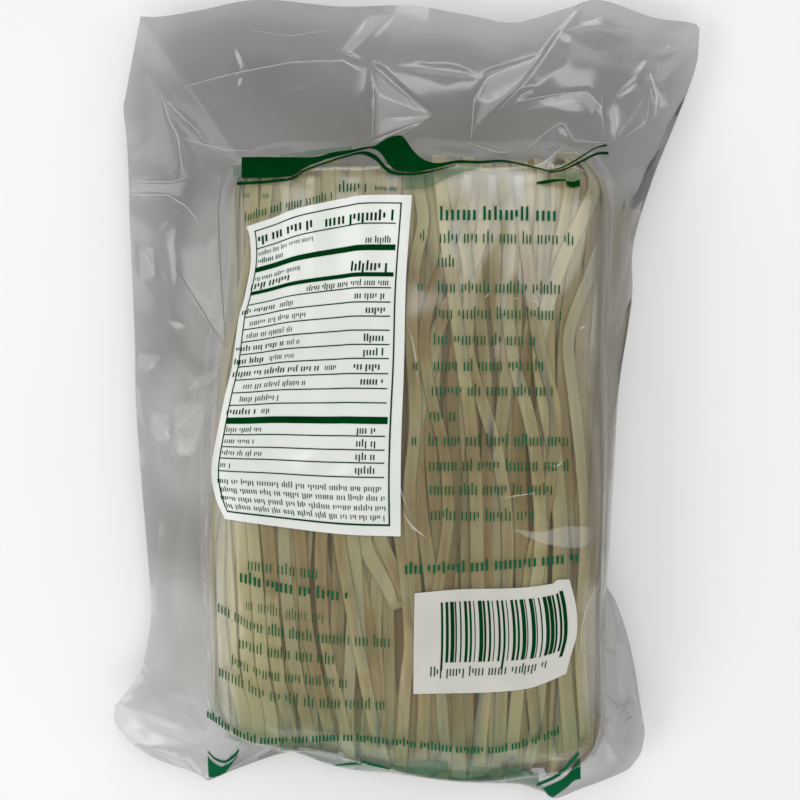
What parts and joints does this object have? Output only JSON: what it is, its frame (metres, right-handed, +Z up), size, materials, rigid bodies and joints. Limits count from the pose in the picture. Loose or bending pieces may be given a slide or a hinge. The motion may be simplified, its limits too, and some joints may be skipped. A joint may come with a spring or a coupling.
{
  "type": "bag of dried flat rice noodles",
  "caption": "Clear sealed film bag tightly round a block of dried flat rice noodles, slack and creased at its edges, lying flat with its printed back up.",
  "frame": {"origin": "centre of the bag's bounding box on the surface it lies on", "axes": "+X across the bag to the right of the printed side, +Y along the noodles towards the bag's empty top end, +Z up through the printed side"},
  "size_m": [0.1924, 0.2604, 0.0438],
  "materials": {
    "clear_film": "gloss",
    "rice_noodle": "satin",
    "green_ink": "gloss",
    "white_ink": "gloss"
  },
  "bodies": {
    "root": {"noodle_pack": "clear_film"}
  },
  "joints": []
}
